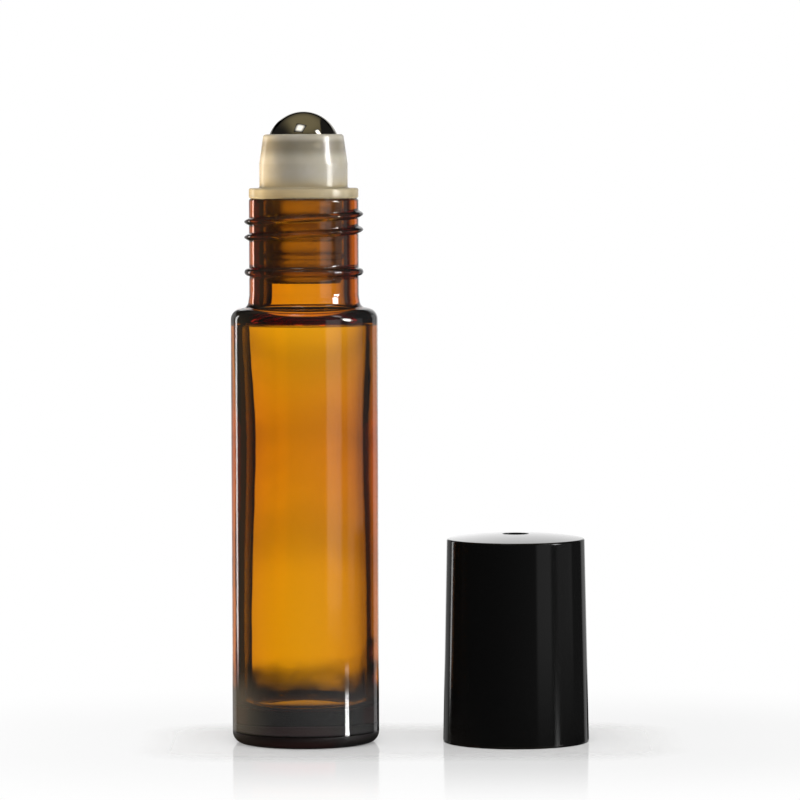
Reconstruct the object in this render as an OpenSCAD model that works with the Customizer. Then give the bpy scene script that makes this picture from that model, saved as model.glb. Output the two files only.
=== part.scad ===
// Roll-on bottle: a moulded glass bottle, a press-in roller housing with its steel ball,
// and a screw cap that stands beside the bottle with its mouth down.
// Millimetres, +Z up. The origin is the middle of the bottle's base, on the table.

/* [Glass body] */
// Outer diameter of the body
body_d = 20; // [18:0.5:26]
// Height from the table to the top of the shoulder
body_h = 59.3; // [40:0.1:80]
// Thickness of the side wall
wall_t = 1.9; // [1.2:0.1:2.4]
// Thickness of glass between the table and the edge of the cavity's floor
base_t = 5; // [3:0.1:9]
// How much higher the middle of the cavity's floor is than its edge
floor_rise = 0.6; // [0.2:0.1:1.5]
// Thickness of glass between the cavity and the top of the shoulder
shoulder_t = 1.9; // [1.2:0.1:3]
// Radius round the bottom outer edge
heel_r = 1.5; // [0.6:0.1:2]
// Radius round the shoulder's outer edge
shoulder_r = 1.55; // [0.6:0.05:2]
// Radius inside, where the cavity's floor meets its wall
cavity_floor_r = 1.2; // [0.5:0.1:5]
// Radius inside, under the shoulder
cavity_top_r = 0.4; // [0.2:0.1:1.8]
// How much wider the cavity is under the shoulder than further down, on each side
cavity_spread = 0.5; // [0.1:0.05:0.6]
// Height over which the cavity widens
cavity_spread_h = 12; // [6:0.5:20]
// Width of the flat ring that the bottle stands on
stand_ring_w = 1.9; // [1:0.1:3]
// Height of the dished middle of the base above the table
push_up = 0.8; // [0.2:0.1:1.5]

/* [Glass neck] */
// Outer diameter of the neck, without its thread
neck_d = 14.9; // [13:0.1:16]
// Height of the neck, from the shoulder to the rim
neck_h = 14.9; // [13.5:0.1:20]
// Bore of the neck
bore_d = 11; // [9:0.1:12]
// How far the bore flares out into the cavity, on each side
throat_flare = 2.4; // [0.5:0.1:2.6]
// Height over which the bore flares
throat_flare_h = 3.8; // [1:0.1:5]
// Radius of the fillet where the neck meets the shoulder
neck_root_r = 0.95; // [0.3:0.05:1.2]
// How much wider than the neck its foot is, on each side
neck_flare = 0.15; // [0.05:0.05:0.4]
// Height over which the foot flares
neck_flare_h = 2.2; // [1.5:0.1:3]
// Radius on the rim's outer and inner edges
rim_r = 0.35; // [0.1:0.05:0.6]
// How far the ring bead stands out of the neck
bead_h = 0.65; // [0.3:0.05:1]
// Height of the ring bead
bead_w = 1.1; // [0.6:0.1:1.6]
// Height of the bead's middle above the shoulder
bead_z = 4.9; // [4:0.1:6]

/* [Thread] */
// How far the glass thread stands out of the neck
thread_h = 0.65; // [0.4:0.05:0.9]
// Height of the thread ridge at its root
thread_w = 1.15; // [0.8:0.05:1.3]
// Rise of the thread in one turn
thread_pitch = 2.1; // [1.8:0.1:2.6]
// Length of the glass thread in turns, with both run-outs
thread_turns = 1.9; // [1.2:0.1:2.2]
// Height of the middle of the thread's lower end above the shoulder
thread_z = 9.2; // [8.5:0.1:10]
// Angle at which the thread starts
thread_start = 110; // [0:5:355]

/* [Roller ball] */
// Diameter of the ball
ball_d = 9.9; // [8:0.1:11]
// Running gap between the ball and its socket
ball_gap = 0.07; // [0.03:0.01:0.1]
// Height of the ball's middle above the flange
ball_lift = 5.45; // [5:0.05:8]
// Height of the gripping lip above the ball's middle
lip_h = 1.85; // [1:0.05:3]

/* [Roller housing] */
// Thickness of the socket's wall
cup_wall = 0.98; // [0.7:0.02:1.2]
// How much the cup narrows towards its rim, on each side
cup_taper = 0.5; // [0.1:0.05:0.6]
// Height over which the cup narrows
cup_taper_h = 4; // [2:0.1:5]
// Thickness of the flange that sits on the glass rim
flange_t = 1.4; // [0.8:0.1:2.5]
// Rounding of the flange's edges and of the corner where the cup stands on it
housing_edge_r = 0.25; // [0.1:0.05:0.35]
// Rounding of the cup's rim on the outside
cup_edge_r = 0.45; // [0.1:0.05:0.6]
// Length of the plug below the flange
plug_l = 11.5; // [8:0.1:12.5]
// Thickness of the plug's wall
plug_wall = 1; // [0.7:0.05:1.4]
// Gap between the plug and the bore of the neck
plug_gap = 0.3; // [0.15:0.05:0.5]
// Gap between the plug's sealing beads and the bore
seal_gap = 0.05; // [0.02:0.01:0.1]
// Height of each sealing bead
seal_w = 0.9; // [0.5:0.1:1.5]
// Number of sealing beads
seal_count = 3; // [1:1:4]
// Distance from one sealing bead to the next, and from the flange to the first
seal_pitch = 2.6; // [1.8:0.1:2.8]
// Length of the bevel that leads the plug into the neck
plug_bevel = 0.6; // [0.2:0.1:1]
// Diameter of the feed hole under the ball
feed_d = 3.6; // [2:0.1:5]
// Number of feed grooves in the socket
groove_count = 4; // [3:1:6]
// Width of a feed groove
groove_w = 0.9; // [0.5:0.1:1.4]
// Depth of a feed groove
groove_depth = 0.4; // [0.2:0.05:0.6]

/* [Cap] */
// Thickness of the cap's side wall at its mouth
cap_wall = 1.4; // [1:0.1:2]
// Thickness of the cap's top at its edge
cap_top_t = 1.2; // [0.8:0.1:2]
// How much higher the middle of the top is than its edge
cap_crown = 0.65; // [0.1:0.05:0.8]
// How much narrower the cap is at the top, on each side
cap_taper = 0.55; // [0:0.05:1]
// Gap between the cap's bore and the outside of the glass thread
cap_gap = 0.45; // [0.3:0.05:0.8]
// Gap between the shoulder and the screwed-down cap
cap_seat_gap = 0.3; // [0.1:0.1:1]
// Gap between the ball and the top of the screwed-down cap
cap_head_gap = 0.2; // [0.1:0.05:1]
// Rounding of the cap's top outer edge
cap_edge_r = 0.5; // [0.1:0.05:0.8]
// Bevel inside the cap's mouth
cap_lead = 0.4; // [0.2:0.1:0.8]
// How far the cap's thread stands into its bore
cap_thread_h = 0.7; // [0.5:0.05:0.75]
// Length of the cap's thread in turns, with both run-outs
cap_thread_turns = 1.5; // [1:0.1:2]
// Thickness of the sealing ring under the cap's top
seal_ring_t = 0.7; // [0.5:0.1:1]
// Gap between the sealing ring and the rim of the cup
seal_ring_gap = 0.05; // [0.02:0.01:0.2]
// Diameter of the dimple that the moulding gate leaves in the top
gate_d = 3.5; // [1.5:0.1:4]
// Depth of that dimple
gate_depth = 0.35; // [0.1:0.05:0.6]
// Space between the bottle and the cap that stands beside it
stand_gap = 8.75; // [2:0.05:30]

/* [Hidden] */
$fn = 96;

overrun = 1; // how far a cut runs past the face it opens
arc_step = 10; // degrees between the points of a rounded edge
curve_steps = 6; // straight pieces in a shallow dish or a slow widening

// Glass
body_r = body_d / 2;
neck_r = neck_d / 2;
bore_r = bore_d / 2;
cavity_r = body_r - wall_t;
rim_z = body_h + neck_h;
shoulder_room = body_r - neck_r - neck_flare;
edge_share = 0.62; // share of the shoulder's width that its outer rounding may take
root_share = 0.37; // share of it that the neck's root fillet may take
edge_r = min(shoulder_r, edge_share * shoulder_room);
root_r = min(neck_root_r, root_share * shoulder_room);
cavity_wide_r = cavity_r + cavity_spread;
ceiling_r = min(cavity_top_r, edge_share * (cavity_wide_r - bore_r));
throat_share = 0.9; // share of the shoulder's width inside that the flare may take
throat_w = min(throat_flare, throat_share * (cavity_wide_r - bore_r - ceiling_r));
ceiling_z = body_h - shoulder_t;
floor_r = min(cavity_floor_r, cavity_r);
ring_outer_r = body_r - heel_r;
ring_inner_r = ring_outer_r - stand_ring_w;

// Outline of a thread ridge: shares of its height outwards, and of its width upwards. Its
// flanks run on from the first and last point into the wall.
ridge_shares = [[0.5, -0.37], [0.88, -0.24], [1, -0.09], [1, 0.09], [0.88, 0.24], [0.5, 0.37]];
root_share_w = 0.6; // share of the width to each side at which the flanks end in the wall
thread_root = 0.35; // how deep a thread is rooted in its wall
thread_step = 7.5; // degrees from one section of a thread to the next
runout = 40; // degrees over which a thread rises out of its wall
runout_share = 0.12; // share of the full height at which a thread begins and ends

// Roller housing and ball
ball_r = ball_d / 2;
socket_r = ball_r + ball_gap;
cup_r = socket_r + cup_wall;
flange_r = neck_r;
flange_z = rim_z + flange_t;
ball_z = flange_z + ball_lift;
cup_rim_z = ball_z + lip_h;
cup_rim_r = cup_r - cup_taper;
lip_r = sqrt(socket_r * socket_r - lip_h * lip_h);
rim_share = 0.6; // share of the rim's width that its outer rounding may take
cup_round_r = min(cup_edge_r, rim_share * (cup_rim_r - lip_r));
plug_r = bore_r - plug_gap;
plug_z = rim_z - plug_l;
seal_h = plug_gap - seal_gap;
well_r = plug_r - plug_wall;
well_top_z = ball_z - socket_r / 2; // inside the bowl, which the well leaves standing

// Cap, in the bottle's frame when it is screwed down
cap_seat_z = body_h + cap_seat_gap;
cap_edge_z = ball_z + ball_r + cap_head_gap + cap_top_t - cap_seat_z;
cap_h = cap_edge_z + cap_crown;
cap_bore_r = neck_r + thread_h + cap_gap;
cap_r = cap_bore_r + cap_wall;
cap_top_r = cap_r - cap_taper;
cap_ceiling_z = cap_edge_z - cap_top_t;
seal_ring_z = cup_rim_z + seal_ring_gap - cap_seat_z;
seal_ring_r = lip_r + seal_ring_gap;
cap_thread_z = body_h + thread_z - thread_pitch / 2 - cap_seat_z; // between the glass turns
cap_thread_top = cap_thread_z + thread_pitch * cap_thread_turns + thread_w;
cap_x = body_r + stand_gap + cap_r;

// Points of an arc about [cx, cy], from angle a0 to a1. Radii differ along x and y for a bulge.
function arc(cx, cy, rx, ry, a0, a1) =
    let (steps = max(2, ceil(abs(a1 - a0) / arc_step)))
    [for (i = [0 : steps])
        let (a = a0 + (a1 - a0) * i / steps)
        [cx + rx * cos(a), cy + ry * sin(a)]];

function round_arc(cx, cy, r, a0, a1) = arc(cx, cy, r, r, a0, a1);

// A shallow dish from the axis at height top down to [edge, 0], as an arc of a circle. Where
// it has a hole, it starts at the hole's edge.
function dish(edge, top, hole_r = 0) =
    let (r = (edge * edge + top * top) / (2 * top))
    [for (i = [0 : curve_steps])
        let (x = hole_r + (edge - hole_r) * i / curve_steps)
        [x, top - r + sqrt(r * r - x * x)]];

// A dish at height z, run from the point next to its edge in to the middle
function dish_inward(points, z) =
    [for (i = [len(points) - 2 : -1 : 0]) points[i] + [0, z]];

// The wall of the cavity where it narrows below the shoulder, as half a cosine wave
function cavity_narrows() =
    [for (i = [1 : curve_steps])
        let (down = i / curve_steps)
        [cavity_r + cavity_spread * (1 + cos(180 * down)) / 2,
         ceiling_z - ceiling_r - cavity_spread_h * down]];

// Share of a thread's full height at a place along it
function rise_share(along, length) =
    let (from_end = min(along, length - along))
    runout_share + (1 - runout_share) * sin(90 * min(1, from_end / runout));

// A right-hand thread ridge on a wall of radius wall_r. It stands outwards if side is 1 and
// inwards if it is -1, and its root lies in the wall.
module thread(wall_r, height, width, turns, start_z, start, side) {
    length = turns * 360;
    sections = ceil(length / thread_step);
    outline = concat([[-1, -root_share_w]], ridge_shares, [[-1, root_share_w]]);
    sides = len(outline);
    points = [for (i = [0 : sections])
        let (along = length * i / sections,
             a = start + along,
             z = start_z + thread_pitch * along / 360)
        for (p = outline)
            let (out = p[0] < 0 ? -thread_root : p[0] * height * rise_share(along, length),
                 r = wall_r + side * out)
            [r * cos(a), r * sin(a), z + p[1] * width]];
    function turned(face) = side < 0 ? face : [face[2], face[1], face[0]];
    skin = [for (i = [0 : sections - 1], j = [0 : sides - 1])
        let (k = (j + 1) % sides,
             a = i * sides + j,
             b = i * sides + k,
             c = a + sides,
             d = b + sides)
        for (face = [[a, c, b], [b, c, d]]) turned(face)];
    first = [for (j = [1 : sides - 2]) turned([0, j, j + 1])];
    last_at = sections * sides;
    last = [for (j = [1 : sides - 2]) turned([last_at, last_at + j + 1, last_at + j])];
    polyhedron(points = points, faces = concat(skin, first, last), convexity = 10);
}

// Half outline of the bottle: base, outside, rim, bore and cavity
function glass_outline() = concat(
    dish(ring_inner_r, push_up),
    round_arc(ring_outer_r, heel_r, heel_r, -90, 0),
    round_arc(body_r - edge_r, body_h - edge_r, edge_r, 0, 90),
    round_arc(neck_r + neck_flare + root_r, body_h + root_r, root_r, 270, 180),
    [[neck_r, body_h + neck_flare_h]],
    arc(neck_r, body_h + bead_z, bead_h, bead_w / 2, -90, 90),
    round_arc(neck_r - rim_r, rim_z - rim_r, rim_r, 0, 90),
    round_arc(bore_r + rim_r, rim_z - rim_r, rim_r, 90, 180),
    arc(bore_r + throat_w, ceiling_z + throat_flare_h, throat_w, throat_flare_h, 180, 270),
    round_arc(cavity_wide_r - ceiling_r, ceiling_z - ceiling_r, ceiling_r, 90, 0),
    cavity_narrows(),
    round_arc(cavity_r - floor_r, base_t + floor_r, floor_r, 0, -90),
    dish_inward(dish(cavity_r - floor_r, floor_rise), base_t)
);

module glass_bottle() {
    color([0.55, 0.27, 0.03, 0.6])
    union() {
        rotate_extrude() polygon(glass_outline());
        thread(neck_r, thread_h, thread_w, thread_turns, body_h + thread_z, thread_start, 1);
    }
}

// Outline of the plug's sealing beads, from the lowest up
function seal_beads() = [for (i = [seal_count : -1 : 1])
    each arc(plug_r, rim_z - i * seal_pitch, seal_h, seal_w / 2, -90, 90)];

// Half outline of the solid housing, before it is hollowed
function housing_outline() = concat(
    [[0, plug_z], [plug_r - plug_bevel / 2, plug_z], [plug_r, plug_z + plug_bevel]],
    seal_beads(),
    [[plug_r, rim_z]],
    round_arc(flange_r - housing_edge_r, rim_z + housing_edge_r, housing_edge_r, -90, 0),
    round_arc(flange_r - housing_edge_r, flange_z - housing_edge_r, housing_edge_r, 0, 90),
    round_arc(cup_r + housing_edge_r, flange_z + housing_edge_r, housing_edge_r, 270, 180),
    [[cup_r, cup_rim_z - cup_taper_h]],
    round_arc(cup_rim_r - cup_round_r, cup_rim_z - cup_round_r, cup_round_r, 0, 90),
    [[0, cup_rim_z]]
);

// The hollow of the plug. A bowl of even wall under the ball is left standing in it.
module plug_well() {
    difference() {
        translate([0, 0, plug_z - overrun])
            cylinder(r = well_r, h = well_top_z - plug_z + overrun);
        translate([0, 0, ball_z]) sphere(r = cup_r);
    }
}

// Grooves in the lower half of the socket that feed the ball
module feed_grooves() {
    groove_r = socket_r + groove_depth;
    for (i = [1 : groove_count])
        translate([0, 0, ball_z])
            rotate([0, 0, (i - 0.5) * 360 / groove_count])
                intersection() {
                    sphere(r = groove_r);
                    translate([0, -groove_w / 2, -groove_r])
                        cube([groove_r, groove_w, socket_r]);
                }
}

module roller_housing() {
    color([0.86, 0.84, 0.78, 0.9])
    difference() {
        rotate_extrude() polygon(housing_outline());
        translate([0, 0, ball_z]) sphere(r = socket_r);
        translate([0, 0, plug_z]) cylinder(d = feed_d, h = ball_z - plug_z);
        feed_grooves();
        plug_well();
    }
}

module roller_ball() {
    color([0.72, 0.72, 0.7])
    translate([0, 0, ball_z]) sphere(r = ball_r);
}

// Half outline of the cap: outside, top with its dimple, sealing ring and bore
function cap_outline() = concat(
    [[cap_r, 0]],
    round_arc(cap_top_r - cap_edge_r, cap_edge_z - cap_edge_r, cap_edge_r, 0, 90),
    dish_inward(dish(cap_top_r - cap_edge_r, cap_crown, gate_d / 2), cap_edge_z),
    [[gate_d / 2, cap_h - gate_depth], [0, cap_h - gate_depth]],
    [[0, cap_ceiling_z], [seal_ring_r, cap_ceiling_z], [seal_ring_r, seal_ring_z]],
    [[seal_ring_r + seal_ring_t, seal_ring_z], [seal_ring_r + seal_ring_t, cap_ceiling_z]],
    [[cap_bore_r - cap_taper, cap_ceiling_z], [cap_bore_r, cap_thread_top], [cap_bore_r, cap_lead]],
    [[cap_bore_r + cap_lead, 0]]
);

module screw_cap() {
    color([0.03, 0.03, 0.03])
    translate([cap_x, 0, 0])
        union() {
            rotate_extrude() polygon(cap_outline());
            thread(cap_bore_r, cap_thread_h, thread_w, cap_thread_turns, cap_thread_z, thread_start, -1);
        }
}

glass_bottle();
roller_housing();
roller_ball();
screw_cap();
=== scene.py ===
import math

import bpy
import numpy as np
from mathutils import Matrix, Vector


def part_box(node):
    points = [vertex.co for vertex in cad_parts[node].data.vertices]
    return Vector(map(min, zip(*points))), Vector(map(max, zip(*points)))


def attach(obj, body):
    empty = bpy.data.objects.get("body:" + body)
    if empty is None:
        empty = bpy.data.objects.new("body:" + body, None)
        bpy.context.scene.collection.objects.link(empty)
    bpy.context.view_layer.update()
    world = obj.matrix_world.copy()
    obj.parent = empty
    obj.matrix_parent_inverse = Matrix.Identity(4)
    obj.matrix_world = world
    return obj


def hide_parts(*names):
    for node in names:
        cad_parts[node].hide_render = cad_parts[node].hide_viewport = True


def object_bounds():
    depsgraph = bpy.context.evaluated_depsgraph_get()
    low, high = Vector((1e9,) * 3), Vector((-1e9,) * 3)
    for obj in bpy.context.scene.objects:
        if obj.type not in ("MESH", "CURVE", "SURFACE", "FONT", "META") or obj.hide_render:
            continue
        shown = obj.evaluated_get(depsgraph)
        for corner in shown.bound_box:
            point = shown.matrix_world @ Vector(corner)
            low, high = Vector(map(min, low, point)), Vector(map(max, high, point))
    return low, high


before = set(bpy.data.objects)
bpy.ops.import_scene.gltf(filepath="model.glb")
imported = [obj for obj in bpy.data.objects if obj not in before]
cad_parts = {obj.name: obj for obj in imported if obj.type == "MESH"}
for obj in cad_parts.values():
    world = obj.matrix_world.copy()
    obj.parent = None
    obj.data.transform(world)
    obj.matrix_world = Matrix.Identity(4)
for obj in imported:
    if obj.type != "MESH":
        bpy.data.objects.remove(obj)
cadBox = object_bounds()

print("frame loaded")

# Lengths here are millimetres and angles degrees. Blender's own unit is the metre.
mm = 0.001
cadLow, cadHigh = (np.array(v) / mm for v in cadBox)


# The camera stands in front of the bottle and looks a little down on it.
camera = {
    "right": 13.0,  # of the bottle's axis
    "distance": 680,
    "height": 82,
    "aimHeight": 46.7,
    "roll": -0.2,
    "lens": 225,
    "sensor": 36,
    "clip": (50, 5000),
}


# The camera faces the point it aims at and rolls a little.
def makeCamera():
    data = bpy.data.cameras.new("camera")
    data.lens = camera["lens"]
    data.sensor_width = camera["sensor"]
    data.clip_start, data.clip_end = (v * mm for v in camera["clip"])
    made = bpy.data.objects.new("camera", data)
    bpy.context.scene.collection.objects.link(made)
    eye = Vector((camera["right"], -camera["distance"], camera["height"])) * mm
    aim = Vector((camera["right"], 0, camera["aimHeight"])) * mm
    turn = (aim - eye).to_track_quat("-Z", "Y").to_matrix().to_4x4()
    roll = Matrix.Rotation(math.radians(camera["roll"]), 4, "Z")
    made.matrix_basis = Matrix.Translation(eye) @ turn @ roll
    bpy.context.scene.camera = made
    return made


photoCamera = makeCamera()
print("camera placed")


# Profiles. A run is an array of (radius, height) points, and an outline is runs joined end to end.


# Arc of an ellipse: centre plus (radius cos a, rise sin a), with the angle a in even steps.
def arcRun(centre, radius, angles, count, rise=None):
    a = np.radians(np.linspace(angles[0], angles[1], count))
    rise = radius if rise is None else rise
    return np.column_stack([centre[0] + radius * np.cos(a), centre[1] + rise * np.sin(a)])


# Radius of the sphere of which a shallow dome is a part, (edge^2 + rise^2) / (2 rise), and its half angle.
def capOfSphere(edge, rise):
    radius = (edge**2 + rise**2) / (2 * rise)
    return radius, math.degrees(math.asin(edge / radius))


# Straight run whose points crowd at both ends: the share run so far is (1 - cos t) / 2, t from 0 to pi.
def straightRun(start, end, count):
    share = (1 - np.cos(np.linspace(0, np.pi, count)))[:, None] / 2
    return (1 - share) * np.array(start, float) + share * np.array(end, float)


# Straight run with its points at even steps of about the given length.
def evenRun(start, end, step):
    count = int(math.ceil(math.dist(start, end) / step)) + 1
    share = np.linspace(0, 1, count)[:, None]
    return (1 - share) * np.array(start, float) + share * np.array(end, float)


# Runs joined into one outline, with the point that two neighbours share kept once. Each point keeps the name
# of its run.
def joinRuns(runs):
    points, names = [], []
    for name, run in runs:
        if points and np.allclose(points[-1][-1], run[0], atol=1e-6):
            run = run[1:]
        points.append(run)
        names += [name] * len(run)
    return np.concatenate(points), np.array(names)


# Angles of the columns of a turned surface, as one column array.
def turnAngles(around):
    return np.linspace(0, 2 * np.pi, around, endpoint=False)[:, None]


# Turned surface: the point of column i and row j lies at radius[i, j] and height[i, j], at the angle of
# column i. A row of radius 0 at either end becomes one point, and a loop's last row joins its first.
def turnedPiece(name, radius, height, around, axisX=0, loop=False):
    a = turnAngles(around)
    radius = np.broadcast_to(radius, (around, radius.shape[-1]))
    height = np.broadcast_to(height, radius.shape)
    rows = radius.shape[1]
    firstPole = not loop and radius[:, 0].max() < 1e-6
    lastPole = not loop and radius[:, -1].max() < 1e-6
    grid = np.stack([axisX + radius * np.cos(a), radius * np.sin(a), height], axis=2)
    kept = grid[:, int(firstPole) : rows - int(lastPole)]
    count = kept.shape[1]
    points = kept.reshape(-1, 3)
    column = np.arange(around)[:, None]
    row = np.arange(count if loop else count - 1)[None, :]
    near, far = column * count, (column + 1) % around * count
    up = (row + 1) % count
    faces = np.stack([near + row, far + row, far + up, near + up], axis=2).reshape(-1, 4).tolist()
    near, far = near[:, 0], far[:, 0]
    if firstPole:
        pole = np.full(around, len(points))
        points = np.vstack([points, grid[:1, 0]])
        faces += np.column_stack([pole, far, near]).tolist()
    if lastPole:
        pole = np.full(around, len(points))
        points = np.vstack([points, grid[:1, -1]])
        faces += np.column_stack([near + count - 1, far + count - 1, pole]).tolist()
    mesh = bpy.data.meshes.new(name)
    mesh.from_pydata((points * mm).tolist(), [], faces)
    mesh.shade_smooth()
    made = bpy.data.objects.new(name, mesh)
    bpy.context.scene.collection.objects.link(made)
    print(name, len(mesh.vertices), "points")
    return made


# Height of a screw ridge above its wall. Its middle climbs one pitch in a turn. Across it the height falls
# as cos(pi s / 2) to a power, where s is the distance from the middle over half the ridge's width. At its
# ends it rises from the wall as a sine.
def screwRidge(angle, height, thread):
    first = (np.degrees(angle) - thread["start"]) % 360
    length = thread["turns"] * 360
    ridge = np.zeros(np.broadcast(angle, height).shape)
    for turn in range(math.ceil(thread["turns"])):
        along = first + 360 * turn
        middle = thread["foot"] + thread["pitch"] * along / 360
        across = np.clip(np.abs(height - middle) * 2 / thread["width"], 0, 1)
        fromEnd = np.clip(np.minimum(along, length - along) / thread["runout"], 0, 1)
        rise = np.sin(fromEnd * np.pi / 2)
        ridge = np.maximum(ridge, thread["stands"] * rise * np.cos(np.pi / 2 * across) ** thread["power"])
    return ridge


# Smooth step from 0 at low to 1 at high: s squared times (3 - 2 s), where s is the share of the way.
def ease(value, low, high):
    share = np.clip((value - low) / (high - low), 0, 1)
    return share * share * (3 - 2 * share)


# Bell curve: e to the power of minus the square of the distance from the middle over the width.
def bellCurve(value, middle, width):
    return np.exp(-(((value - middle) / width) ** 2))


# Materials


# An sRGB hex value as the linear colour that nodes take.
def hexColour(text):
    shares = [int(text[i : i + 2], 16) / 255 for i in (1, 3, 5)]
    linear = [s / 12.92 if s <= 0.04045 else ((s + 0.055) / 1.055) ** 2.4 for s in shares]
    return (*linear, 1)


# Adds a node. A setting is one of its inputs if it has one of that name or number, otherwise a property. In
# a mix of colours, input 0 is the share and inputs 6 and 7 are the two colours.
def addNode(tree, kind, settings=None, links=None):
    node = tree.nodes.new(kind)
    for name, value in (settings or {}).items():
        if isinstance(name, int) or name in node.inputs:
            node.inputs[name].default_value = value
        else:
            setattr(node, name, value)
    for name, source in (links or {}).items():
        tree.links.new(source, node.inputs[name])
    return node


# An empty material, its node tree and its output node.
def newMaterial(name):
    material = bpy.data.materials.new(name)
    material.use_nodes = True
    material.node_tree.nodes.clear()
    output = addNode(material.node_tree, "ShaderNodeOutputMaterial")
    return material, material.node_tree, output


# Noise on object coordinates with features of about the given size, as a number between low and high. Noise
# keeps mostly between 0.3 and 0.7, so those are spread to the ends of the range.
def unevenness(tree, size, low, high, detail=2, stretch=(1, 1, 1)):
    place = addNode(tree, "ShaderNodeTexCoord").outputs["Object"]
    mapped = addNode(tree, "ShaderNodeMapping", {"Scale": stretch}, {"Vector": place})
    settings = {"Scale": 1 / (size * mm), "Detail": detail}
    noise = addNode(tree, "ShaderNodeTexNoise", settings, {"Vector": mapped.outputs[0]})
    span = {"From Min": 0.3, "From Max": 0.7, "To Min": low, "To Max": high}
    return addNode(tree, "ShaderNodeMapRange", span, {"Value": noise.outputs["Fac"]}).outputs[0]


# The parts taken together one after another by one operation. The first is an output, and any other may be a
# number.
def combine(tree, operation, *parts):
    value = parts[0]
    for part in parts[1:]:
        number = isinstance(part, (int, float))
        settings = {"operation": operation, **({1: part} if number else {})}
        links = {0: value} if number else {0: value, 1: part}
        value = addNode(tree, "ShaderNodeMath", settings, links).outputs[0]
    return value


# One coordinate of a place on the object.
def coordinate(tree, axis):
    place = addNode(tree, "ShaderNodeTexCoord").outputs["Object"]
    return addNode(tree, "ShaderNodeSeparateXYZ", None, {0: place}).outputs[axis]


# Share that goes from 0 at one value to 1 at another, both counted in the given unit.
def fading(tree, value, start, full, kind="SMOOTHSTEP", unit=mm):
    span = {"interpolation_type": kind, "From Min": start * unit, "From Max": full * unit}
    return addNode(tree, "ShaderNodeMapRange", span, {"Value": value}).outputs[0]


# Value that goes smoothly from one to another between two heights of the piece.
def byHeight(tree, heights, values):
    span = {"interpolation_type": "SMOOTHSTEP", "From Min": heights[0] * mm, "From Max": heights[1] * mm}
    span.update({"To Min": values[0], "To Max": values[1]})
    return addNode(tree, "ShaderNodeMapRange", span, {"Value": coordinate(tree, 2)}).outputs[0]


# Share that rises from 0 to 1 between the first two heights of the piece and falls back between the others.
def between(tree, heights):
    rise = byHeight(tree, heights[:2], (0, 1))
    return combine(tree, "MULTIPLY", rise, byHeight(tree, heights[2:], (1, 0)))


# Normals of a surface that is uneven by the given depth, with features of the given size.
def relief(tree, size, depth, **noise):
    height = unevenness(tree, size, 0, 1, **noise)
    return addNode(tree, "ShaderNodeBump", {"Distance": depth * mm}, {"Height": height}).outputs[0]


amber = {
    "colour": "#ffffff",  # of the surface, since the glass is coloured in its depth
    "ior": 1.52,
    "tint": "#fdf168",
    "density": 2780,  # how strongly what the tint lacks is taken up, per metre
    "clear": (0.955, 0.987),  # share that passes low in the base and above, the rest is a faint bloom
    "bloom": (6, 11),  # heights between which that changes
    "roughness": (0, 0.012),
    "mottle": 3,  # size of the patches in its gloss
    "foot": (1.5, 1.8),  # heights between which the stippled, dull foot ends
    "footRoughness": 0.5,
    "footClear": 0.3,  # share of the light that the foot lets through, the rest showing its painted dark shade
    # painted shade: the foot below about 2 mm is coloured near black, as if in shade
    "footShadeColour": "#201d1c",
    "footShadeEnd": (1.7, 2),  # heights between which that painted shade ends
    "wave": (6, 0.012),  # size and depth of the waves in the wall
}


# Soda-lime glass coloured amber by iron and sulphur, formed in a mould. Its skin is fire-polished, so it is
# glossy and clear, with the slow waviness of a moulded wall and a stippled foot. The colour comes from the
# thickness of the glass, except at the foot, which is painted near black and lets less through as painted
# shade.
def mouldedAmberGlass():
    material, tree, output = newMaterial("mouldedAmberGlass")
    skin = unevenness(tree, amber["mottle"], *amber["roughness"])
    rough = combine(tree, "MAXIMUM", skin, byHeight(tree, amber["foot"], (amber["footRoughness"], 0)))
    wave = relief(tree, *amber["wave"], detail=1)
    bloom = byHeight(tree, amber["bloom"], amber["clear"])
    clear = combine(tree, "MULTIPLY", bloom, byHeight(tree, amber["foot"], (amber["footClear"], 1)))
    # painted shade: the foot's colour turns near black towards the table
    above = byHeight(tree, amber["footShadeEnd"], (0, 1))
    colours = {"data_type": "RGBA", 6: hexColour(amber["footShadeColour"]), 7: hexColour(amber["colour"])}
    colour = addNode(tree, "ShaderNodeMix", colours, {0: above}).outputs[2]
    links = {"Transmission Weight": clear, "Roughness": rough, "Normal": wave, "Base Color": colour}
    surface = addNode(tree, "ShaderNodeBsdfPrincipled", {"IOR": amber["ior"]}, links)
    inside = {"Color": hexColour(amber["tint"]), "Density": amber["density"]}
    absorb = addNode(tree, "ShaderNodeVolumeAbsorption", inside)
    tree.links.new(surface.outputs[0], output.inputs["Surface"])
    tree.links.new(absorb.outputs[0], output.inputs["Volume"])
    return material


natural = {
    "colour": "#fbf6ea",
    "shade": "#f3ecd9",
    "thickAndGlow": "#f9ebc8",  # of the flange, warmer where the plastic is thickest, with painted amber glow from the glass below
    "flange": (73.4, 74.4, 75.6, 77.6),  # heights over which that colour comes and goes
    "transmission": (0.9, 0.58),  # of the plug in the neck and of the cup above it
    "cup": (73, 76),  # heights between which the plug gives way to the cup
    "clearer": 0.25,  # how much more the cup lets through under its rim
    "underRim": (79.4, 81, 81.7, 82.5),  # heights over which that comes and goes
    "milk": 0.18,  # share of the light that the cup scatters onwards
    "roughness": (0.17, 0.22),
    "patch": 0.8,  # size of the patches in its gloss
    "cloud": 2.5,  # size of the patches in its colour
    "grain": (1.5, 0.003),  # size and depth of the unevenness where it cooled
    "ior": 1.5,
}
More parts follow.
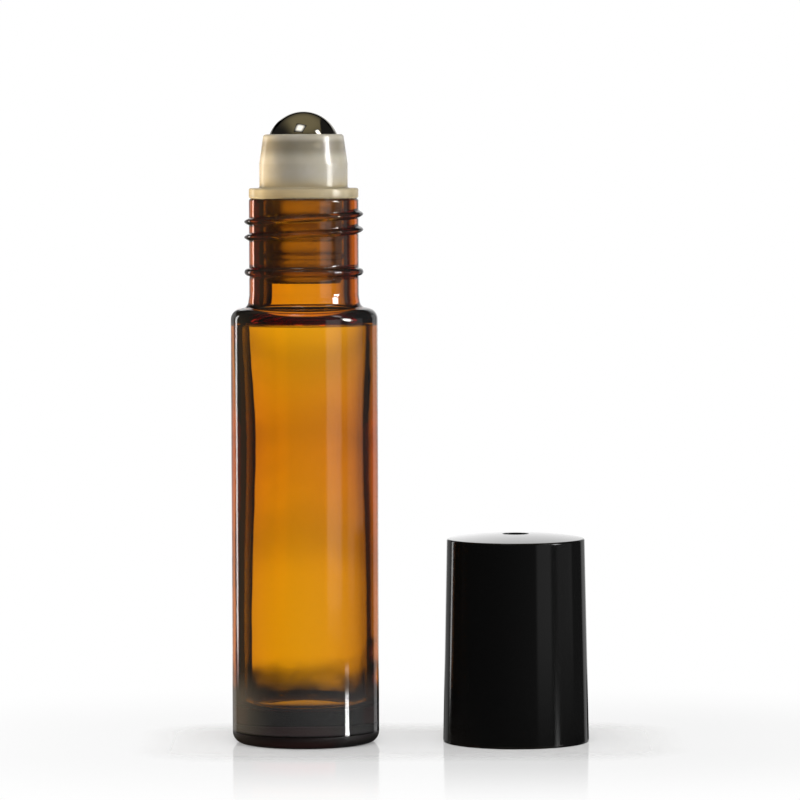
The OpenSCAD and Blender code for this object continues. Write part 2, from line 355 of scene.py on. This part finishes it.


# Natural polyethylene, injection moulded without pigment. It is milky and lets light through without a clear
# view, a little uneven where it cooled, with the soft gloss of a polished mould. Its flange is painted a
# warmer cream, partly for the thicker plastic and partly as painted amber glow from the glass below.
def naturalPolyethylene():
    material, tree, output = newMaterial("naturalPolyethylene")
    cloud = unevenness(tree, natural["cloud"], 0, 1)
    colours = {"data_type": "RGBA", 6: hexColour(natural["shade"]), 7: hexColour(natural["colour"])}
    thin = addNode(tree, "ShaderNodeMix", colours, {0: cloud}).outputs[2]
    # the flange's colour: thicker plastic plus painted amber glow from the glass below
    thickAndGlow = {"data_type": "RGBA", 7: hexColour(natural["thickAndGlow"])}
    mixed = addNode(tree, "ShaderNodeMix", thickAndGlow, {0: between(tree, natural["flange"]), 6: thin}).outputs[2]
    rough = unevenness(tree, natural["patch"], *natural["roughness"])
    grain = relief(tree, *natural["grain"])
    clearer = combine(tree, "MULTIPLY", between(tree, natural["underRim"]), natural["clearer"])
    passed = combine(tree, "ADD", byHeight(tree, natural["cup"], natural["transmission"]), clearer)
    links = {"Base Color": mixed, "Roughness": rough, "Normal": grain, "Transmission Weight": passed}
    plastic = addNode(tree, "ShaderNodeBsdfPrincipled", {"IOR": natural["ior"]}, links)
    milk = addNode(tree, "ShaderNodeBsdfTranslucent", None, {"Color": mixed, "Normal": grain})
    share = byHeight(tree, natural["cup"], (0, natural["milk"]))
    both = addNode(tree, "ShaderNodeMixShader", None, {0: share, 1: plastic.outputs[0], 2: milk.outputs[0]})
    tree.links.new(both.outputs[0], output.inputs["Surface"])
    return material


steel = {
    "colour": "#cbc6ba",
    "roughness": (0.03, 0.07),
    "patch": 0.5,  # size of the patches in its gloss
    "marks": (0.15, 0.0004),  # length and depth of the lapping marks, drawn coarser than real ones to show
    "stretch": (1, 6, 1),  # how much finer the marks are along each axis
}


# Stainless steel, ground and lapped to a mirror. It shows the room as a dark picture with bright lamps,
# broken only by fine lapping marks.
def lappedStainlessSteel():
    material, tree, output = newMaterial("lappedStainlessSteel")
    rough = unevenness(tree, steel["patch"], *steel["roughness"], detail=3)
    marks = relief(tree, *steel["marks"], detail=4, stretch=steel["stretch"])
    settings = {"Base Color": hexColour(steel["colour"]), "Metallic": 1}
    metal = addNode(tree, "ShaderNodeBsdfPrincipled", settings, {"Roughness": rough, "Normal": marks})
    tree.links.new(metal.outputs[0], output.inputs["Surface"])
    return material


black = {
    "colour": "#0f0f0f",
    "roughness": 0.1,
    "ior": 1.27,
    "polish": (0.5, 0.95),  # how far up a face looks where the top's higher polish begins and is full
    "polishIor": 1.5,
    "peel": (0.8, 0.0006),  # size and depth of the orange peel
}


# Polypropylene pigmented black, injection moulded in a polished mould. It is deep black and glossy, most of
# all on top, and its reflections are a little soft from the fine orange peel of the moulded skin.
def glossyBlackPolypropylene():
    material, tree, output = newMaterial("glossyBlackPolypropylene")
    normal = addNode(tree, "ShaderNodeNewGeometry").outputs["Normal"]
    upward = addNode(tree, "ShaderNodeSeparateXYZ", None, {0: normal}).outputs[2]
    polish = fading(tree, upward, *black["polish"], "LINEAR", 1)
    peel = relief(tree, *black["peel"])
    settings = {"Base Color": hexColour(black["colour"]), "IOR": black["ior"]}
    settings.update({"Roughness": black["roughness"], "Coat Roughness": black["roughness"]})
    settings["Coat IOR"] = black["polishIor"]
    plastic = addNode(tree, "ShaderNodeBsdfPrincipled", settings, {"Normal": peel, "Coat Weight": polish})
    tree.links.new(plastic.outputs[0], output.inputs["Surface"])
    return material


# Puts a finished piece in its place: its material and body, and hides the CAD node it stands for.
def finishPiece(piece, material, body, node):
    piece.data.materials.append(material)
    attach(piece, body)
    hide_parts(node)


# Lowest and highest corner of a CAD node in millimetres.
def nodeBox(node):
    low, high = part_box(node)
    return np.array(low) / mm, np.array(high) / mm


# Glass bottle
glassLow, glassHigh = nodeBox("glass_bottle")
rimHeight = glassHigh[2]
bodyRadius = (glassHigh[1] - glassLow[1]) / 2
glass = {
    "around": 224,
    "shoulder": 59.3,
    "wall": 1.6,
    "base": 5,
    "ceiling": 1.9,  # thickness of the shoulder
    "heel": 1.5,
    "shoulderEdge": 1.55,
    "ring": 1.9,  # width of the ring it stands on
    "pushUp": 0.8,
    "floorCurve": 1.2,
    "floorRise": 0.6,  # of the middle of the cavity's floor over its edge
    "ceilingCurve": 0.4,
    "throat": (2.4, 3.8),  # how far the bore flares into the cavity, and over what height
    "spread": (0.2, 16),  # how much wider the cavity is at the top, and over what height
    "bulge": (0.42, 41, 13),  # how much thicker the wall is at most, at what height, and how far round it
    "neck": 7.45,  # radius
    "flare": (0.12, 1.75),  # how much wider the neck's foot is, and over what height
    "root": 0.95,  # fillet where the neck meets the shoulder
    "bore": 5.5,  # radius
    "rimCurve": 0.35,
    "bead": (0.65, 1.1, 4.9),  # how far it stands out, its height, and its place above the shoulder
    "steps": (0.4, 0.5, 0.05),  # from row to row on the flare, the neck and the thread
    "threadRoom": 1,  # how far below the thread's lower end its fine rows begin
}
glassThread = {
    "start": 110,
    "turns": 1.9,
    "foot": glass["shoulder"] + 9.2,
    "pitch": 2.1,
    "width": 1,
    "stands": 0.65,
    "power": 0.9,  # below 1 the ridge is fuller than a cosine
    "runout": 40,  # angle over which each end rises from the wall
}


# Half outline of the glass, from the middle of the base round the outside and back down the inside.
def glassOutline():
    g = glass
    heel, edge, root, rim = g["heel"], g["shoulderEdge"], g["root"], g["rimCurve"]
    ringOut = bodyRadius - heel
    ringIn = ringOut - g["ring"]
    dishRadius, dishHalf = capOfSphere(ringIn, g["pushUp"])
    top = g["shoulder"]
    flare, flareTall = g["flare"]
    neck, bore = g["neck"], g["bore"]
    rootRadius = neck + flare
    flareTop = top + flareTall
    beadOut, beadTall, beadPlace = g["bead"]
    bead = top + beadPlace
    flareStep, neckStep, threadStep = g["steps"]
    threadLow = glassThread["foot"] - g["threadRoom"]
    throat, throatTall = g["throat"]
    cavity = bodyRadius - g["wall"]
    wide = cavity + g["spread"][0]
    ceiling = top - g["ceiling"]
    curve = g["ceilingCurve"]
    base, soft, rise = g["base"], g["floorCurve"], g["floorRise"]
    domeRadius, domeHalf = capOfSphere(cavity - soft, rise)
    runs = [
        ("dish", arcRun((0, g["pushUp"] - dishRadius), dishRadius, (90, 90 - dishHalf), 12)),
        ("ring", straightRun((ringIn, 0), (ringOut, 0), 5)),
        ("heel", arcRun((ringOut, heel), heel, (-90, 0), 14)),
        ("side", straightRun((bodyRadius, heel), (bodyRadius, top - edge), 26)),
        ("edge", arcRun((bodyRadius - edge, top - edge), edge, (0, 90), 16)),
        ("shoulder", straightRun((bodyRadius - edge, top), (rootRadius + root, top), 4)),
        ("root", arcRun((rootRadius + root, top + root), root, (270, 180), 10)),
        ("flare", evenRun((rootRadius, top + root), (neck, flareTop), flareStep)),
        ("neck", evenRun((neck, flareTop), (neck, bead - beadTall / 2), neckStep)),
        ("bead", arcRun((neck, bead), beadOut, (-90, 90), 24, beadTall / 2)),
        ("neck", evenRun((neck, bead + beadTall / 2), (neck, threadLow), neckStep)),
        ("thread", evenRun((neck, threadLow), (neck, rimHeight - rim), threadStep)),
        ("rim", arcRun((neck - rim, rimHeight - rim), rim, (0, 90), 8)),
        ("rim", straightRun((neck - rim, rimHeight), (bore + rim, rimHeight), 5)),
        ("rim", arcRun((bore + rim, rimHeight - rim), rim, (90, 180), 8)),
        ("bore", straightRun((bore, rimHeight - rim), (bore, ceiling + throatTall), 12)),
        ("throat", arcRun((bore + throat, ceiling + throatTall), throat, (180, 270), 24, throatTall)),
        ("ceiling", straightRun((bore + throat, ceiling), (wide - curve, ceiling), 4)),
        ("ceiling", arcRun((wide - curve, ceiling - curve), curve, (90, 0), 12)),
        ("cavity", straightRun((cavity, ceiling - curve), (cavity, base + soft), 90)[1:]),
        ("floor", arcRun((cavity - soft, base + soft), soft, (0, -90), 14)),
        ("floor", arcRun((0, base + rise - domeRadius), domeRadius, (90 - domeHalf, 90), 24)),
    ]
    return joinRuns(runs)


# The cavity's wall moves out towards the shoulder by half a cosine wave, and in where the glass is thicker.
def makeGlass():
    outline, names = glassOutline()
    angle = turnAngles(glass["around"])
    radius, height = outline[:, 0], outline[:, 1]
    ridge = screwRidge(angle, height[None, :], glassThread)
    radius = radius + ridge * (names == "thread")
    spread, over = glass["spread"]
    thicker, place, width = glass["bulge"]
    down = np.clip((glass["shoulder"] - glass["ceiling"] - glass["ceilingCurve"] - height) / over, 0, 1)
    uneven = spread * (1 + np.cos(np.pi * down)) / 2 - thicker * bellCurve(height, place, width)
    radius = radius + uneven * (names == "cavity")
    return turnedPiece("glassBottle", radius, height, glass["around"])


glassBottle = makeGlass()
finishPiece(glassBottle, mouldedAmberGlass(), "bottle", "glass_bottle")


# Roller ball
ballLow, ballHigh = nodeBox("roller_ball")
ballRadius = (ballHigh[2] - ballLow[2]) / 2
ballHeight = (ballHigh[2] + ballLow[2]) / 2
ball = {"around": 128, "rows": 97}


# A sphere from pole to pole: radius r cos t and height r sin t, with t from -90 to 90 degrees.
def makeBall():
    outline = arcRun((0, ballHeight), ballRadius, (-90, 90), ball["rows"])
    outline[[0, -1], 0] = 0
    return turnedPiece("rollerBall", outline[:, 0], outline[:, 1], ball["around"])


rollerBall = makeBall()
finishPiece(rollerBall, lappedStainlessSteel(), "ball", "roller_ball")


# Roller housing
housingLow, housingHigh = nodeBox("roller_housing")
plugFoot, cupRim = housingLow[2], housingHigh[2]
flangeRadius = (housingHigh[0] - housingLow[0]) / 2
housing = {
    "around": 192,
    "flangeThick": 1.4,
    "gap": 0.07,  # between the ball and its socket
    "cupWall": 0.98,
    "taper": (0.5, 4),  # how much the cup narrows towards its rim, and over what height
    "edge": 0.25,
    "rimEdge": 0.45,
    "plugWall": 1,
    "plugGap": 0.3,  # between the plug and the bore
    "bead": (0.25, 0.9, 2.6),  # how far each stands out, its height, and the step from bead to bead
    "beads": 3,
    "bevel": 0.6,
    "feed": 1.8,  # radius of the hole under the ball
    "grooves": 4,
    "groove": (0.9, 0.4),  # width and depth
    "grooveSoft": 0.12,  # half the width over which its edges round off
    "grooveEnd": 0.7,  # height below the ball's middle over which it runs out
}


# Where a hole of one radius cuts a sphere of another round the ball's middle from below. The angle is minus
# the arc cosine of their ratio, and the height follows from the two squares.
def belowBall(hole, sphere):
    return -math.degrees(math.acos(hole / sphere)), ballHeight - math.sqrt(sphere**2 - hole**2)


# Half outline of the housing as a closed loop: plug, beads, flange, cup, lip, socket, feed hole and well.
def housingOutline():
    h = housing
    flangeTop = rimHeight + h["flangeThick"]
    socket = ballRadius + h["gap"]
    cup = socket + h["cupWall"]
    plug = glass["bore"] - h["plugGap"]
    well = plug - h["plugWall"]
    edge, rimEdge = h["edge"], h["rimEdge"]
    beadOut, beadTall, beadStep = h["bead"]
    lipAngle = math.degrees(math.asin((cupRim - ballHeight) / socket))
    lip = math.sqrt(socket**2 - (cupRim - ballHeight) ** 2)
    feed = h["feed"]
    feedAngle, feedTop = belowBall(feed, socket)
    bowlAngle, feedFoot = belowBall(feed, cup)
    wellAngle, wellTop = belowBall(well, cup)
    runs = [
        ("end", straightRun((well, plugFoot), (plug - h["bevel"] / 2, plugFoot), 4)),
        ("bevel", straightRun((plug - h["bevel"] / 2, plugFoot), (plug, plugFoot + h["bevel"]), 6)),
    ]
    below = (plug, plugFoot + h["bevel"])
    for i in range(h["beads"], 0, -1):
        place = rimHeight - i * beadStep
        runs.append(("plug", straightRun(below, (plug, place - beadTall / 2), 5)))
        runs.append(("bead", arcRun((plug, place), beadOut, (-90, 90), 14, beadTall / 2)))
        below = (plug, place + beadTall / 2)
    taper, taperTall = h["taper"]
    top = cupRim - taperTall
    narrow = cup - taper
    runs += [
        ("plug", straightRun(below, (plug, rimHeight), 5)),
        ("under", straightRun((plug, rimHeight), (flangeRadius - edge, rimHeight), 5)),
        ("flange", arcRun((flangeRadius - edge, rimHeight + edge), edge, (-90, 0), 7)),
        ("flange", straightRun((flangeRadius, rimHeight + edge), (flangeRadius, flangeTop - edge), 5)),
        ("flange", arcRun((flangeRadius - edge, flangeTop - edge), edge, (0, 90), 7)),
        ("flange", straightRun((flangeRadius - edge, flangeTop), (cup + edge, flangeTop), 4)),
        ("cup", arcRun((cup + edge, flangeTop + edge), edge, (270, 180), 7)),
        ("cup", straightRun((cup, flangeTop + edge), (cup, top), 10)),
        ("cup", straightRun((cup, top), (narrow, cupRim - rimEdge), 10)),
        ("cup", arcRun((narrow - rimEdge, cupRim - rimEdge), rimEdge, (0, 90), 10)),
        ("lip", straightRun((narrow - rimEdge, cupRim), (lip, cupRim), 4)),
        ("socket", arcRun((0, ballHeight), socket, (lipAngle, feedAngle), 56)),
        ("feed", straightRun((feed, feedTop), (feed, feedFoot), 5)),
        ("bowl", arcRun((0, ballHeight), cup, (bowlAngle, wellAngle), 14)),
        ("well", straightRun((well, wellTop), (well, plugFoot), 8)),
    ]
    return joinRuns(runs)


# The feed grooves push the socket's lower half out along its own radius, by the groove's depth times a soft
# step across its width. The outline's last point is its first again, so it is left off.
def makeHousing():
    outline, names = housingOutline()
    h = housing
    angle = turnAngles(h["around"])
    radius, height = outline[:-1, 0], outline[:-1, 1]
    names = names[:-1]
    sector = 2 * np.pi / h["grooves"]
    width, depth = h["groove"]
    fromGroove = np.abs(angle % sector - sector / 2) * np.maximum(radius, h["feed"])
    across = 1 - ease(fromGroove, width / 2 - h["grooveSoft"], width / 2 + h["grooveSoft"])
    along = 1 - ease(height, ballHeight - h["grooveEnd"], ballHeight)
    push = depth * across * along * (names == "socket") / (ballRadius + h["gap"])
    radius, height = radius * (1 + push), height + push * (height - ballHeight)
    return turnedPiece("rollerHousing", radius, height, h["around"], loop=True)


rollerHousing = makeHousing()
finishPiece(rollerHousing, naturalPolyethylene(), "housing", "roller_housing")


# Screw cap
capLow, capHigh = nodeBox("screw_cap")
capAxis = (capLow[0] + capHigh[0]) / 2
capRadius = (capHigh[0] - capLow[0]) / 2
capHeight = capHigh[2]
cap = {
    "around": 192,
    "wall": 1.4,
    "top": 1.2,
    "crown": 0.65,  # how much higher the middle of the top is than its edge
    "taper": 0.55,
    "edge": 0.3,
    "lead": 0.4,
    "foot": 0.2,  # rounding of the mouth's outer edge
    "sealRing": (4.717, 0.7, 23.35),  # inner radius, thickness, and height of its lower edge
    "gate": (1.75, 0.35, 0.12),  # radius and depth of the gate mark, and the rounding of its edge
    "threadRows": (1, 4.5),  # how far below and above the thread's lower end its fine rows reach
    "threadStep": 0.08,
}
capThread = {
    "start": 110,
    "turns": 1.5,
    "foot": 7.85,
    "pitch": 2.1,
    "width": 1.15,
    "stands": 0.7,
    "power": 0.9,
    "runout": 40,
}


# Half outline of the cap, from the middle of its ceiling down the inside, round the mouth and up outside.
def capOutline():
    c = cap
    bore = capRadius - c["wall"]
    edgeHeight = capHeight - c["crown"]
    ceiling = edgeHeight - c["top"]
    ringIn, ringThick, ringFoot = c["sealRing"]
    ringOut = ringIn + ringThick
    below, above = c["threadRows"]
    threadLow, threadHigh = capThread["foot"] - below, capThread["foot"] + above
    soft = ringThick / 2
    lean = math.degrees(math.atan(c["taper"] / edgeHeight))
    edge, foot, lead = c["edge"], c["foot"], c["lead"]
    sideFoot = capRadius - foot + foot * math.cos(math.radians(lean))
    topRadius = capRadius - c["taper"]
    topEdge = topRadius - edge
    crownRadius, crownHalf = capOfSphere(topEdge, c["crown"])
    crownMiddle = capHeight - crownRadius
    gate, gateDepth, gateEdge = c["gate"]
    gateOut = gate + gateEdge
    gateHalf = math.degrees(math.asin(gateOut / crownRadius))
    gateTop = crownMiddle + math.sqrt(crownRadius**2 - gateOut**2)
    gateFloor = capHeight - gateDepth
    runs = [
        ("ceiling", straightRun((0, ceiling), (ringIn, ceiling), 6)),
        ("seal", straightRun((ringIn, ceiling), (ringIn, ringFoot + soft), 5)),
        ("seal", arcRun((ringIn + soft, ringFoot + soft), soft, (180, 360), 12)),
        ("seal", straightRun((ringOut, ringFoot + soft), (ringOut, ceiling), 5)),
        ("ceiling", straightRun((ringOut, ceiling), (bore - c["taper"], ceiling), 6)),
        ("bore", straightRun((bore - c["taper"], ceiling), (bore, threadHigh), 10)),
        ("thread", evenRun((bore, threadHigh), (bore, threadLow), c["threadStep"])),
        ("bore", straightRun((bore, threadLow), (bore, lead), 8)),
        ("mouth", straightRun((bore, lead), (bore + lead, 0), 4)),
        ("mouth", straightRun((bore + lead, 0), (capRadius - foot, 0), 4)),
        ("mouth", arcRun((capRadius - foot, foot), foot, (-90, lean), 7)),
        ("side", straightRun((sideFoot, foot), (topRadius, edgeHeight - edge), 24)),
        ("edge", arcRun((topEdge, edgeHeight - edge), edge, (lean, 90), 14)),
        ("top", arcRun((0, crownMiddle), crownRadius, (90 - crownHalf, 90 - gateHalf), 24)),
        ("gate", arcRun((gateOut, gateTop - gateEdge), gateEdge, (90, 180), 5)),
        ("gate", straightRun((gate, gateTop - gateEdge), (gate, gateFloor), 4)),
        ("gate", straightRun((gate, gateFloor), (0, gateFloor), 8)),
    ]
    return joinRuns(runs)


# The thread stands into the bore, so its ridge is taken off the radius.
def makeCap():
    outline, names = capOutline()
    angle = turnAngles(cap["around"])
    ridge = screwRidge(angle, outline[None, :, 1], capThread) * (names == "thread")
    return turnedPiece("screwCap", outline[:, 0] - ridge, outline[:, 1], cap["around"], capAxis)


screwCap = makeCap()
finishPiece(screwCap, glossyBlackPolypropylene(), "cap", "screw_cap")


# The studio. Its cards and lamps are one set with the camera, as on a turntable, so every side of the object
# is seen against the same backdrop. Their places are turns round the object, to the right of the camera and
# upwards. A card has a width and a height, and over the two lengths called soft its light fades in from its
# sides and from its foot and top.
middle = Vector((14, 0, 45))
studio = {
    "away": 600,  # of the lamps from the middle of the object
    "ambient": 0.5,  # brightness of the room for matt surfaces
    "room": 0.018,  # and for gloss and glass
    "roomTop": "#837b62",
    "roomRise": (0.45, 0.95),  # of the direction's upward share, from wall to ceiling
    "roomLeft": (-0.85, -0.35),  # of its share along X, over which the ceiling lights up from the left
    "roomRight": (0.64, 0.6),  # of its share towards roomEnd, where the ceiling ends
    "roomEnd": (0.912, 0.41, 0),  # to the right and a little back
    "floorColour": "#fdfdfd",
    "floorFade": (1, 14),  # how far off the object the table top begins to fade, and where it is gone
    "floorShare": 0.6,
    "filmFade": (6, 62),  # the same for the film on it
    "filmShare": 0.78,
    "filmIor": 1.15,
    "filmRoughness": 0.1,
    "filmLift": 0.02,  # over the table top
}
backdrop = {
    "behind": 600,  # the point that the camera aims at
    "half": 520,  # half its width
    "window": (-192, 520, -76, 365),  # left, right, foot and top of the white that gloss and glass see
    "soft": (12, 500, 12, 110),  # how far it takes to fade in from each
    "dip": (-17, 21, 0.22),  # height of a dim band in it, how far it reaches, and how dim it is
}
lamps = {
    "keyLamp": {"place": (-4, 66), "size": 420, "radiance": 4.4, "colour": "#ffffff"},
    "rightLamp": {"place": (75, -14), "size": 300, "radiance": 14, "colour": "#ffffff"},
    "leftLamp": {"place": (-120, -14), "size": 300, "radiance": 48, "colour": "#ffe7bf"},
}
cards = {
    "topBox": {"place": (-24, 66), "size": (270, 310), "radiance": 2, "soft": (100, 110)},
    "sidePanel": {"place": (47, 3.8), "size": (330, 280), "radiance": 0.9, "soft": (60, 40)},
    "farPanel": {"place": (88, 3.8), "size": (420, 280), "radiance": 0.35, "soft": (60, 40)},
    "brightStrip": {"place": (64, 44), "size": (170, 240), "radiance": 4, "soft": (60, 70)},
    "spark": {"place": (70, 15), "size": (190, 150), "radiance": 70, "soft": (95, 75), "seen": False},
    "cupGlow": {"place": (73, 5), "size": (180, 56), "radiance": 38, "soft": (40, 4), "seen": False},
    "lowGlow": {"place": (68, -10.9), "size": (90, 34), "radiance": 30, "soft": (17, 17), "seen": False},
    "rimStrip": {"place": (-132, 4.5), "size": (95, 305), "radiance": 4, "soft": (30, 20), "seen": False},
    "leftPanel": {"place": (-152, 0), "size": (330, 400), "radiance": 0.3, "soft": (60, 60), "seen": False},
    "rightPanel": {"place": (145, 0), "size": (210, 400), "radiance": 0.5, "soft": (40, 60), "seen": False},
}


# Ties a thing of the studio to the camera, so that it follows when the view changes.
def withCamera(thing):
    thing.parent = photoCamera
    thing.matrix_parent_inverse = photoCamera.matrix_basis.inverted()


# Where a lamp stands and how it turns to face the object. Its way out from the middle has x = sin a cos e,
# y = -cos a cos e and z = sin e, with a and e the turns to the right and upwards.
def facing(azimuth, elevation):
    a, e = math.radians(azimuth), math.radians(elevation)
    out = Vector((math.sin(a) * math.cos(e), -math.cos(a) * math.cos(e), math.sin(e)))
    stand = Matrix.Translation((middle + out * studio["away"]) * mm)
    return stand @ out.to_track_quat("Z", "Y").to_matrix().to_4x4()


# Share that falls softly from 1 to 0 at both ends of a stretch along one axis. The kind is the high end's.
def softEnds(tree, axis, low, high, softLow, softHigh, kind="SMOOTHSTEP"):
    value = coordinate(tree, axis)
    rise = fading(tree, value, low, low + softLow)
    return combine(tree, "MULTIPLY", rise, fading(tree, value, high, high - softHigh, kind))


# 1 less a soft dip of the given depth round one height: a smooth step that falls off over the width.
def dimmer(tree, dipHeight, width, depth):
    centred = combine(tree, "SUBTRACT", coordinate(tree, 1), dipHeight * mm)
    away = addNode(tree, "ShaderNodeMath", {"operation": "ABSOLUTE"}, {0: centred}).outputs[0]
    fade = {"interpolation_type": "SMOOTHSTEP", "From Max": width * mm, "To Min": 1 - depth, "To Max": 1}
    return addNode(tree, "ShaderNodeMapRange", fade, {"Value": away}).outputs[0]


# A flat rectangle with its corners in millimetres, at a place.
def flatPiece(name, low, high, place):
    mesh = bpy.data.meshes.new(name)
    corners = [(low[0], low[1], 0), (high[0], low[1], 0), (high[0], high[1], 0), (low[0], high[1], 0)]
    mesh.from_pydata((np.array(corners) * mm).tolist(), [], [(0, 1, 2, 3)])
    made = bpy.data.objects.new(name, mesh)
    bpy.context.scene.collection.objects.link(made)
    made.matrix_basis = place
    return made


# Material that only glows, as strongly as a function of its node tree says.
def glowing(name, lightUp):
    material, tree, output = newMaterial(name)
    glow = addNode(tree, "ShaderNodeEmission", None, {"Strength": lightUp(tree)})
    tree.links.new(glow.outputs[0], output.inputs["Surface"])
    return material


# White behind the object. Gloss and glass see it too, as a window of limited width and height, which draws
# the dark edges of clear glass. It lights nothing.
def makeBackdrop():
    b = backdrop
    left, right, foot, top = b["window"]

    def lightUp(tree):
        rays = addNode(tree, "ShaderNodeLightPath").outputs
        sides = softEnds(tree, 0, left, right, *b["soft"][:2], "LINEAR")
        heights = softEnds(tree, 1, foot, top, *b["soft"][2:])
        shown = combine(tree, "MAXIMUM", rays["Is Glossy Ray"], rays["Is Transmission Ray"])
        window = combine(tree, "MULTIPLY", shown, sides, heights, dimmer(tree, *b["dip"]))
        return combine(tree, "MAXIMUM", rays["Is Camera Ray"], window)

    turn = photoCamera.matrix_basis.to_3x3()
    aim = Vector((0, 0, camera["aimHeight"])) * mm
    place = Matrix.Translation(aim + turn @ Vector((0, 0, -b["behind"] * mm))) @ turn.to_4x4()
    made = flatPiece("backdrop", (-b["half"],) * 2, (b["half"],) * 2, place)
    made.data.materials.append(glowing("backdrop", lightUp))
    withCamera(made)


# Soft-edged cards for gloss. One that isn't seen in glass shows only in the first reflection, so that no
# stray spark of it wanders about inside the bottle.
def makeCards():
    for name, card in cards.items():
        half, soft, seen = np.array(card["size"]) / 2, card["soft"], card.get("seen", True)

        def lightUp(tree):
            shares = [softEnds(tree, i, -half[i], half[i], soft[i], soft[i]) for i in (0, 1)]
            if not seen:
                depth = addNode(tree, "ShaderNodeLightPath").outputs["Ray Depth"]
                shares.append(combine(tree, "LESS_THAN", depth, 1.5))
            return combine(tree, "MULTIPLY", *shares, card["radiance"])

        made = flatPiece(name, -half, half, facing(*card["place"]))
        made.data.materials.append(glowing(name, lightUp))
        made.visible_camera = made.visible_diffuse = False
        made.visible_transmission = seen
        withCamera(made)


# Lamps for matt surfaces. The power of one is its radiance times pi times its area.
def makeLamps():
    for name, lamp in lamps.items():
        data = bpy.data.lights.new(name, "AREA")
        data.size = lamp["size"] * mm
        data.energy = lamp["radiance"] * math.pi * data.size**2
        data.color = hexColour(lamp["colour"])[:3]
        made = bpy.data.objects.new(name, data)
        bpy.context.scene.collection.objects.link(made)
        made.matrix_basis = facing(*lamp["place"])
        made.visible_camera = made.visible_glossy = made.visible_transmission = False
        withCamera(made)


# A room that lights matt surfaces evenly, and that gloss and glass see as dark, with a dim warm ceiling.
def makeWorld():
    world = bpy.data.worlds.new("room")
    world.use_nodes = True
    tree = world.node_tree
    tree.nodes.clear()
    rays = addNode(tree, "ShaderNodeLightPath").outputs
    generated = addNode(tree, "ShaderNodeTexCoord").outputs["Generated"]
    way = addNode(tree, "ShaderNodeSeparateXYZ", None, {0: generated})
    towards = {"operation": "DOT_PRODUCT", 1: studio["roomEnd"]}
    right = addNode(tree, "ShaderNodeVectorMath", towards, {0: generated})
    shares = [
        fading(tree, way.outputs[2], *studio["roomRise"], unit=1),
        fading(tree, way.outputs[0], *studio["roomLeft"], unit=1),
        fading(tree, right.outputs["Value"], *studio["roomRight"], unit=1),
    ]
    dim = (studio["room"],) * 3 + (1,)
    even = (studio["ambient"],) * 3 + (1,)
    colours = {"data_type": "RGBA", 6: dim, 7: hexColour(studio["roomTop"])}
    room = addNode(tree, "ShaderNodeMix", colours, {0: combine(tree, "MULTIPLY", *shares)})
    links = {0: rays["Is Diffuse Ray"], 6: room.outputs[2]}
    colour = addNode(tree, "ShaderNodeMix", {"data_type": "RGBA", 7: even}, links)
    background = addNode(tree, "ShaderNodeBackground", None, {"Color": colour.outputs[2]})
    output = addNode(tree, "ShaderNodeOutputWorld")
    tree.links.new(background.outputs[0], output.inputs["Surface"])
    bpy.context.scene.world = world


# Share that falls from 1 to 0 with the distance from the object's outline on the table, from near to far. A
# whole metre is taken off the height, so that it doesn't count.
def nearness(tree, near, far):
    centre, half = (cadLow + cadHigh) / 2, (cadHigh - cadLow) / 2
    steps = [
        ("SUBTRACT", tuple(centre * mm)),
        ("ABSOLUTE", None),
        ("SUBTRACT", (half[0] * mm, half[1] * mm, 1)),
        ("MAXIMUM", (0, 0, 0)),
        ("LENGTH", None),
    ]
    value = addNode(tree, "ShaderNodeTexCoord").outputs["Object"]
    for operation, other in steps:
        settings = {"operation": operation}
        if other:
            settings[1] = other
        node = addNode(tree, "ShaderNodeVectorMath", settings, {0: value})
        value = node.outputs["Value" if operation == "LENGTH" else "Vector"]
    fade = {"interpolation_type": "SMOOTHSTEP", "From Min": far * mm, "From Max": near * mm}
    return addNode(tree, "ShaderNodeMapRange", fade, {"Value": value}).outputs[0]


# White table top that fades out a little way off the object, and a clear film over it that mirrors the
# object faintly at a low angle. Only the camera sees the film.
def makeTable():
    sheets = (("tableTop", studio["floorFade"], 0), ("tableFilm", studio["filmFade"], studio["filmLift"]))
    for name, fade, lift in sheets:
        place = Matrix.Translation((0, 0, lift * mm))
        made = flatPiece(name, cadLow[:2] - fade[1], cadHigh[:2] + fade[1], place)
        material, tree, output = newMaterial(name)
        cover = nearness(tree, *fade)
        if name == "tableTop":
            skin = addNode(tree, "ShaderNodeBsdfDiffuse", {"Color": hexColour(studio["floorColour"])})
            cover = combine(tree, "MULTIPLY", cover, studio["floorShare"])
            made.visible_glossy = made.visible_transmission = False
        else:
            skin = addNode(tree, "ShaderNodeBsdfGlossy", {"Roughness": studio["filmRoughness"]})
            grazing = addNode(tree, "ShaderNodeFresnel", {"IOR": studio["filmIor"]}).outputs[0]
            cover = combine(tree, "MULTIPLY", cover, grazing, studio["filmShare"])
            made.visible_diffuse = made.visible_glossy = False
            made.visible_transmission = made.visible_shadow = False
        clear = addNode(tree, "ShaderNodeBsdfTransparent")
        links = {0: cover, 1: clear.outputs[0], 2: skin.outputs[0]}
        faded = addNode(tree, "ShaderNodeMixShader", None, links)
        tree.links.new(faded.outputs[0], output.inputs["Surface"])
        made.data.materials.append(material)


makeBackdrop()
makeCards()
makeLamps()
makeWorld()
makeTable()
bpy.context.scene.view_settings.view_transform = "Standard"
print("studio lit")
